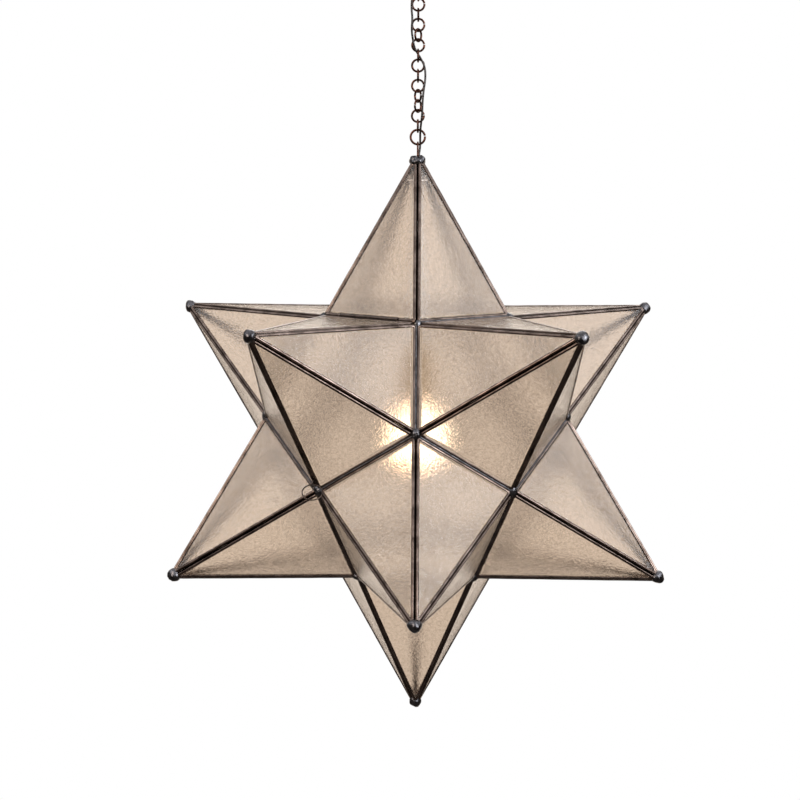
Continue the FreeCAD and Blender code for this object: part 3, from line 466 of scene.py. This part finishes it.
def take_in(work, mesh):
    """Adds a mesh to the work and removes it."""
    work.from_mesh(mesh)
    bpy.data.meshes.remove(mesh)


# ---------------------------------------------------------------- star's layout
def star_directions():
    """The way each point faces: the twelve corners of an icosahedron."""
    found = {"top": Vector((0, 0, 1)), "bottom": Vector((0, 0, -1))}
    out = 2 / math.sqrt(5)
    up = 1 / math.sqrt(5)
    rows = ("upper", FIRST_UPPER_TURN, up), ("lower", FIRST_LOWER_TURN, -up)
    for number in range(5):
        for row, first_turn, rise in rows:
            turn = math.radians(first_turn + FIFTH_TURN * number)
            name = "%s_%d" % (row, number + 1)
            found[name] = Vector((out * math.cos(turn), out * math.sin(turn), rise))
    return found


DIRECTIONS = star_directions()


def next_to(one, other):
    return one != other and DIRECTIONS[one].dot(DIRECTIONS[other]) > 0


def neighbours(*names):
    """The points beside each of the given ones."""
    return [name for name in DIRECTIONS if all(next_to(name, other) for other in names)]


def corner(*names):
    """Where three points meet, from the star's centre."""
    return sum((DIRECTIONS[name] for name in names), Vector()).normalized() * VALLEY_RADIUS


def corner_triples():
    found = set()
    for one in DIRECTIONS:
        for other in neighbours(one):
            for third in neighbours(one, other):
                found.add(tuple(sorted((one, other, third))))
    return sorted(found)


class Pane:
    """One side of a point: X across it, Y up to the tip, depth down from its outer face."""

    def __init__(self, name, other):
        ends = [STAR_CENTRE + corner(name, other, third) for third in neighbours(name, other)]
        tip = STAR_CENTRE + DIRECTIONS[name] * TIP_RADIUS
        self.foot = (ends[0] + ends[1]) / 2
        self.across = (ends[1] - ends[0]).normalized()
        self.up = (tip - self.foot).normalized()
        self.height = (tip - self.foot).length
        self.normal = self.across.cross(self.up)
        if self.normal.dot(DIRECTIONS[name] + DIRECTIONS[other]) < 0:
            self.normal = -self.normal
        self.half_apex = math.atan2((ends[1] - ends[0]).length / 2, self.height)

    def inset(self, more):
        """The came's outer triangle, this much further in: left, right and top corner."""
        ridge = RIDGE_SETBACK + more
        valley = VALLEY_SETBACK + more
        half = (self.height - valley) * math.tan(self.half_apex) - ridge / math.cos(self.half_apex)
        top = self.height - ridge / math.sin(self.half_apex)
        return (-half, valley), (half, valley), (0.0, top)

    def place(self, flat, depth):
        """The point in space that lies there on the pane and this deep."""
        return self.foot + self.across * flat[0] + self.up * flat[1] - self.normal * depth


def between(a, b, share):
    return a[0] + (b[0] - a[0]) * share, a[1] + (b[1] - a[1]) * share


def panes(name):
    return [Pane(name, other) for other in neighbours(name)]


def body_of(name):
    return "door" if name == DOOR else "star"


# ---------------------------------------------------------------- glass
def ripple(point):
    """How deep the glass lies at a point, as a share: wandering waves and shorter pits."""
    wander = RIPPLE_WANDER * noise.noise(point / WANDER_LENGTH)
    waves = noise.noise(point / RIPPLE_LENGTH + Vector((0, 0, wander)))
    return 0.5 + RIPPLE_SHARE * waves + PIT_SHARE * noise.noise(point / PIT_LENGTH)


def add_pane(work, pane):
    """One rippled pane: a fine triangle grid outside and inside, closed round its edge."""
    left, right, top = pane.inset(GLASS_REACH)
    last = PANE_DIVISIONS
    grid = {}
    for side in (0, 1):
        for i in range(last + 1):
            for j in range(last + 1 - i):
                row_start = between(left, top, j / last)
                flat = (row_start[0] + (right[0] - left[0]) * i / last, row_start[1])
                there = pane.place(flat, 0)
                sunk = RIPPLE_DEPTH * ripple(there if side == 0 else there + INNER_FACE_SHIFT)
                depth = GLASS_DEPTH + (sunk if side == 0 else GLASS_THICKNESS - sunk)
                grid[side, i, j] = work.verts.new(pane.place(flat, depth))
    for i in range(last):
        for j in range(last - i):
            work.faces.new((grid[0, i, j], grid[0, i + 1, j], grid[0, i, j + 1]))
            work.faces.new((grid[1, i, j + 1], grid[1, i + 1, j], grid[1, i, j]))
            if i + j < last - 1:
                work.faces.new((grid[0, i + 1, j], grid[0, i + 1, j + 1], grid[0, i, j + 1]))
                work.faces.new((grid[1, i, j + 1], grid[1, i + 1, j + 1], grid[1, i + 1, j]))
    rims = (
        [(i, 0) for i in range(last + 1)],
        [(last - j, j) for j in range(last + 1)],
        [(0, last - j) for j in range(last + 1)],
    )
    for rim in rims:
        for one, following in zip(rim, rim[1:]):
            work.faces.new((grid[0, *following], grid[0, *one], grid[1, *one], grid[1, *following]))


def glass_point(name):
    node = "glass_door" if name == DOOR else "glass_" + name
    work = bmesh.new()
    for pane in panes(name):
        add_pane(work, pane)
    finish_piece(work, node + "_rippled", "seedy_glass", node, body_of(name))


# ---------------------------------------------------------------- cames
def add_came(work, pane):
    """The strip round one pane, mitred at its three corners and slightly uneven."""
    triangles = [pane.inset(inward) for inward, _ in CAME_PROFILE]
    rows = []
    for side in range(3):
        a, b = triangles[0][side], triangles[0][(side + 1) % 3]
        steps = round(math.dist(a, b) / CAME_STEP)
        for step in range(steps):
            row = []
            for triangle, (_, depth) in zip(triangles, CAME_PROFILE):
                flat = between(triangle[side], triangle[(side + 1) % 3], step / steps)
                there = pane.place(flat, depth)
                there += pane.normal * CAME_WOBBLE * noise.noise(there / CAME_WOBBLE_LENGTH)
                row.append(work.verts.new(there))
            rows.append(row)
    count = len(CAME_PROFILE)
    for row, following in zip(rows, rows[1:] + rows[:1]):
        for k in range(count):
            m = (k + 1) % count
            work.faces.new((row[k], row[m], following[m], following[k]))


def cames(node, names):
    """The strips round all panes of the named points, as one piece."""
    work = bmesh.new()
    for name in names:
        for pane in panes(name):
            add_came(work, pane)
    finish_piece(work, node + "_rounded", "came", node, body_of(names[0]))


# ---------------------------------------------------------------- solder
def blob(place, radii, axis, cuts=()):
    """A lump of set solder; each cut keeps what lies on its plane's side."""
    work = bmesh.new()
    bmesh.ops.create_icosphere(work, subdivisions=LUMP_DIVISIONS, radius=1)
    turn = axis.to_track_quat("Z", "X")
    for vertex in work.verts:
        way = vertex.co.normalized()
        seed = way + place * LUMP_VARIETY
        swell = LUMP_SWELL * noise.noise(seed * LUMP_SWELL_RATE)
        crinkle = LUMP_CRINKLE * noise.noise(seed * LUMP_CRINKLE_RATE)
        reach = 1 + swell + crinkle
        vertex.co = place + turn @ Vector([way[k] * radii[k] * reach for k in range(3)])
    for point, normal in cuts:
        geometry = work.verts[:] + work.edges[:] + work.faces[:]
        bmesh.ops.bisect_plane(
            work, geom=geometry, plane_co=point, plane_no=normal, clear_inner=True,
        )
        bmesh.ops.holes_fill(work, edges=[edge for edge in work.edges if edge.is_boundary])
    return work


def gathered(lumps):
    """All lumps as one mesh, each still closed by itself."""
    whole = bmesh.new()
    for lump in lumps:
        mesh = bpy.data.meshes.new("lump")
        lump.to_mesh(mesh)
        lump.free()
        take_in(whole, mesh)
    return whole


def tip_cap(name):
    """The cap on a point's tip; the top one is larger, with two lobes on its front."""
    way = DIRECTIONS[name]
    if name != "top":
        place = STAR_CENTRE + way * (TIP_RADIUS - TIP_CAP_SINK)
        return [blob(place, (TIP_CAP_RADIUS,) * 3, way)]
    place = STAR_CENTRE + way * (TIP_RADIUS - TOP_CAP_SINK)
    lumps = [blob(place, TOP_CAP_RADII, way)]
    for side in (-1, 1):
        shift = Vector((side * TOP_LOBE_OFFSET, -TOP_LOBE_OFFSET / 2, TOP_LOBE_OFFSET / 2))
        lumps.append(blob(place + shift, (TOP_LOBE_RADIUS,) * 3, way))
    return lumps


def valley_lumps(names):
    """Lumps where three points meet, as the star's part and the door's part."""
    out = corner(*names).normalized()
    edge = STAR_CENTRE + corner(*names)
    place = edge - out * VALLEY_LUMP_SINK
    radii = (VALLEY_LUMP_RADIUS, VALLEY_LUMP_RADIUS, VALLEY_LUMP_RADIUS * VALLEY_LUMP_FLATNESS)
    if DOOR not in names:
        return [blob(place, radii, out)], []
    if "top" in names:
        # past the end of the hinge line, out of the swinging door's way
        past = next(name for name in neighbours(DOOR, "top") if name not in names)
        along = (corner(*names) - corner(DOOR, "top", past)).normalized()
        return [blob(place, radii, out, [(edge + along * HINGE_END_GAP, along)])], []
    others = [name for name in names if name != DOOR]
    first, second = [(DIRECTIONS[DOOR] - DIRECTIONS[name]).normalized() for name in others]
    gap = DOOR_CLEARANCE / 2
    star_part = [
        blob(place, radii, out, [(edge - first * gap, -first)]),
        blob(place, radii, out, [(edge - first * gap, first), (edge - second * gap, -second)]),
    ]
    door_cuts = [(edge + first * gap, first), (edge + second * gap, second)]
    return star_part, [blob(place, radii, out, door_cuts)]


def bead(one, other):
    """A thin run of solder down the valley between two points."""
    ends = [corner(one, other, third) for third in neighbours(one, other)]
    out = (ends[0] + ends[1]).normalized()
    shift = Vector()
    if DOOR in (one, other):
        shift = DIRECTIONS[DOOR] * BEAD_RADIUS * BEAD_DOOR_SHIFT
    steps = round((ends[1] - ends[0]).length / BEAD_STEP)
    line = []
    for step in range(steps + 1):
        there = STAR_CENTRE + ends[0].lerp(ends[1], step / steps)
        sink = BEAD_SINK + BEAD_UNEVENNESS * noise.noise(there / BEAD_WAVE_LENGTH)
        line.append(there - out * BEAD_RADIUS * sink + shift)
    work = bmesh.new()
    take_in(work, tube_mesh("bead", tube_rings(line, BEAD_RADIUS, BEAD_SIDES)))
    return work


def solder():
    """Caps, joints and beads; the door's own move with it, and its hinge side has no bead."""
    caps = [lump for name in DIRECTIONS if name != DOOR for lump in tip_cap(name)]
    on_star = []
    on_door = tip_cap(DOOR)
    for names in corner_triples():
        star_part, door_part = valley_lumps(names)
        on_star += star_part
        on_door += door_part
    for one in DIRECTIONS:
        for other in neighbours(one):
            if one < other and {one, other} != {DOOR, "top"}:
                (on_door if DOOR in (one, other) else on_star).append(bead(one, other))
    finish_piece(gathered(caps), "solder_tip_caps_lumps", "solder", "solder_tip_caps", "star")
    finish_piece(
        gathered(on_star), "solder_valley_joints_lumps", "solder", "solder_valley_joints", "star",
    )
    finish_piece(gathered(on_door), "solder_door_lumps", "solder", "solder_door", "door")


# ---------------------------------------------------------------- chain
def chain_ring(number):
    """A bent wire ring, a little out of round, with its wire's ends butted at one side."""
    node = "chain_ring_%02d" % number
    low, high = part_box(node)
    centre = (low + high) / 2
    radius = LOW_RING_RADIUS if number == RING_COUNT else RING_RADIUS
    wire = LOW_RING_WIRE_RADIUS if number == RING_COUNT else RING_WIRE_RADIUS
    # the ring lies in the upright plane through the solid's farthest vertex
    corners = [vertex.co for vertex in frame["nodes"][node].data.vertices]
    far = max(corners, key=lambda place: (place - centre).xy.length)
    across = Vector(((far - centre).x, (far - centre).y, 0)).normalized()
    each_its_own = Vector((number, 0, 0))
    line = []
    for step in range(RING_STEPS + 1):
        turn = 2 * math.pi * (RING_WIRE_START + RING_WIRE_SPAN * step / RING_STEPS)
        there = centre + (across * math.cos(turn) + Vector((0, 0, math.sin(turn)))) * radius
        swell = noise.noise(there * RING_UNEVENNESS_RATE + each_its_own)
        line.append(there + (there - centre) * RING_UNEVENNESS * swell)
    shape = tube_mesh(node + "_wire", tube_rings(line, wire, RING_SIDES))
    obj = new_object(node + "_wire", shape, "bronze")
    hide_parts(node)
    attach(obj, "ring_%02d" % number)


# ---------------------------------------------------------------- lamp cord
def route_line():
    """Points along the cord's smooth line."""
    curve = bpy.data.curves.new("route", "CURVE")
    curve.dimensions = "3D"
    curve.resolution_u = 12
    spline = curve.splines.new("NURBS")
    spline.points.add(len(CORD_ROUTE_MM) - 1)
    for point, place in zip(spline.points, CORD_ROUTE_MM):
        point.co = (*(value / 1000 for value in place), 1)
    spline.order_u = 3
    spline.use_endpoint_u = True
    obj = bpy.data.objects.new("route", curve)
    bpy.context.scene.collection.objects.link(obj)
    mesh = bpy.data.meshes.new_from_object(obj.evaluated_get(bpy.context.evaluated_depsgraph_get()))
    points = [vertex.co.copy() for vertex in mesh.vertices]
    bpy.data.objects.remove(obj)
    bpy.data.meshes.remove(mesh)
    return points


def joint_heights():
    """Height of each hinge from the ceiling down: one for each ring, and the star's."""
    names = ["ring_%02d_swing" % number for number in range(1, RING_COUNT + 1)] + ["star_swing"]
    places = {joint["name"]: joint["pos_m"][2] for joint in frame["joints"] if "pos_m" in joint}
    return [places[name] for name in names]


def cord_stretches(line):
    """Each stretch's first and last place in the line, and the bodies above and below it."""
    heights = joint_heights()
    bodies = ["ceiling_kit"] + ["ring_%02d" % number for number in range(1, RING_COUNT + 1)] + ["star"]
    cuts = [heights[0] + CORD_BEND_REACH]
    cuts += [(upper + lower) / 2 for upper, lower in zip(heights, heights[1:])]
    cuts.append(heights[-1] - CORD_BEND_REACH)
    # the cord only goes down from the first cut on
    start = next(i for i, place in enumerate(line) if place.z < cuts[0])
    stretches = [(0, start, "ceiling_kit", None)]
    for number, low in enumerate(cuts[1:]):
        end = next(i for i, place in enumerate(line) if i > start and place.z < low)
        stretches.append((start, end, bodies[number], bodies[number + 1]))
        start = end
    stretches.append((start, len(line) - 1, "star", None))
    return stretches


def lamp_cord():
    """One jacketed cord, cut into a stretch for each hinge of the chain; the top stretch moves with the ceiling
    kit and the last one with the star.
    """
    line = route_line()
    rings = tube_rings(line, CORD_RADIUS, CORD_SIDES)
    for number, (first, last, upper, lower) in enumerate(cord_stretches(line), 1):
        name = "lamp_cord_%02d" % number
        obj = new_object(name, tube_mesh(name, rings[first:last + 1]), "cord")
        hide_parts("lamp_cord")
        if lower is None:
            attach(obj, upper)
        else:
            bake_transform(obj)


# ---------------------------------------------------------------- surroundings, light, camera
def surroundings():
    """White to the camera, warm beige through the glass. The metal sees a dim room with a
    bright ceiling and a beige backdrop behind the star."""
    world = bpy.data.worlds.new("studio")
    bpy.context.scene.world = world
    world.use_nodes = True
    tree = world.node_tree
    tree.nodes.clear()
    join = tree.links.new

    def way_along(axis):
        """How far a direction points along an axis, from 0 to 1 instead of -1 to 1."""
        node = tree.nodes.new("ShaderNodeMapRange")
        node.inputs["From Min"].default_value = -1
        join(split.outputs[axis], node.inputs["Value"])
        return node.outputs["Result"]

    def plain(colour):
        node = tree.nodes.new("ShaderNodeRGB")
        node.outputs["Color"].default_value = (*colour, 1)
        return node.outputs["Color"]

    def band(source, span, colours):
        """From the first colour to the last as the source goes over the span."""
        node = tree.nodes.new("ShaderNodeValToRGB")
        node.color_ramp.interpolation = "EASE"
        for element, position, colour in zip(node.color_ramp.elements, span, colours):
            element.position = (position + 1) / 2
            element.color = (*colour, 1)
        join(source, node.inputs["Fac"])
        return node.outputs["Color"]

    def mixed(factor, first, second):
        node = tree.nodes.new("ShaderNodeMix")
        node.data_type = "RGBA"
        join(factor, node.inputs["Factor"])
        join(first, node.inputs["A"])
        join(second, node.inputs["B"])
        return node.outputs["Result"]

    direction = tree.nodes.new("ShaderNodeTexCoord")
    split = tree.nodes.new("ShaderNodeSeparateXYZ")
    join(direction.outputs["Generated"], split.inputs["Vector"])
    height = way_along("Z")
    behind = band(way_along("Y"), BACKDROP_SPAN, (BLACK, WHITE))
    room = mixed(behind, band(height, ROOM_SPAN, (ROOM_LOW, ROOM_HIGH)), plain(BACKDROP))
    through = band(height, THROUGH_SPAN, (THROUGH_LOW, THROUGH_HIGH))
    path = tree.nodes.new("ShaderNodeLightPath")
    bent = mixed(path.outputs["Is Transmission Ray"], room, through)
    seen = mixed(path.outputs["Is Camera Ray"], bent, plain(WHITE))
    background = tree.nodes.new("ShaderNodeBackground")
    join(seen, background.inputs["Color"])
    output = tree.nodes.new("ShaderNodeOutputWorld")
    join(background.outputs["Background"], output.inputs["Surface"])


def area_light(name, place, size, power, colour):
    """A broad light turned to the star, which isn't itself seen through the glass."""
    data = bpy.data.lights.new(name, "AREA")
    data.shape = "RECTANGLE"
    data.size, data.size_y = size
    data.energy = power
    data.color = colour
    obj = bpy.data.objects.new(name, data)
    bpy.context.scene.collection.objects.link(obj)
    obj.location = place
    obj.rotation_euler = (STAR_CENTRE - Vector(place)).to_track_quat("-Z", "Y").to_euler()
    obj.visible_transmission = False


def camera():
    """The photograph's camera: on the star's -Y side, above its centre, looking slightly down."""
    data = bpy.data.cameras.new("camera")
    data.sensor_width = SENSOR_WIDTH
    data.lens = FOCAL_PIXELS / PICTURE_SIDE * SENSOR_WIDTH
    data.shift_x = (PICTURE_SIDE / 2 - STAR_CENTRE_PIXEL[0]) / PICTURE_SIDE
    data.shift_y = (STAR_CENTRE_PIXEL[1] - PICTURE_SIDE / 2) / PICTURE_SIDE
    obj = bpy.data.objects.new("camera", data)
    bpy.context.scene.collection.objects.link(obj)
    right = Vector((1, 0, 0))
    up = Vector((0, math.sin(CAMERA_ELEVATION), math.cos(CAMERA_ELEVATION)))
    back = Vector((0, -math.cos(CAMERA_ELEVATION), math.sin(CAMERA_ELEVATION)))
    rolled_right = right * math.cos(CAMERA_ROLL) - up * math.sin(CAMERA_ROLL)
    rolled_up = right * math.sin(CAMERA_ROLL) + up * math.cos(CAMERA_ROLL)
    turn = Matrix.Rotation(-CAMERA_YAW, 3, "Z")
    axes = Matrix((turn @ rolled_right, turn @ rolled_up, turn @ back)).transposed()
    place = STAR_CENTRE + turn @ back * CAMERA_DISTANCE
    obj.matrix_world = Matrix.Translation(place) @ axes.to_4x4()
    bpy.context.scene.camera = obj
    bpy.context.scene.view_settings.view_transform = "Standard"


# ---------------------------------------------------------------- build
camera()
dress_solids()
lamp_cord()
for ring_number in range(1, RING_COUNT + 1):
    chain_ring(ring_number)
for point_name in DIRECTIONS:
    glass_point(point_name)
cames("came_top", ["top"])
cames("came_upper", ["upper_%d" % number for number in range(1, 5)])
cames("came_door", [DOOR])
cames("came_lower", ["lower_%d" % number for number in range(1, 6)])
cames("came_bottom", ["bottom"])
solder()
surroundings()
for light in LIGHTS:
    area_light(*light)
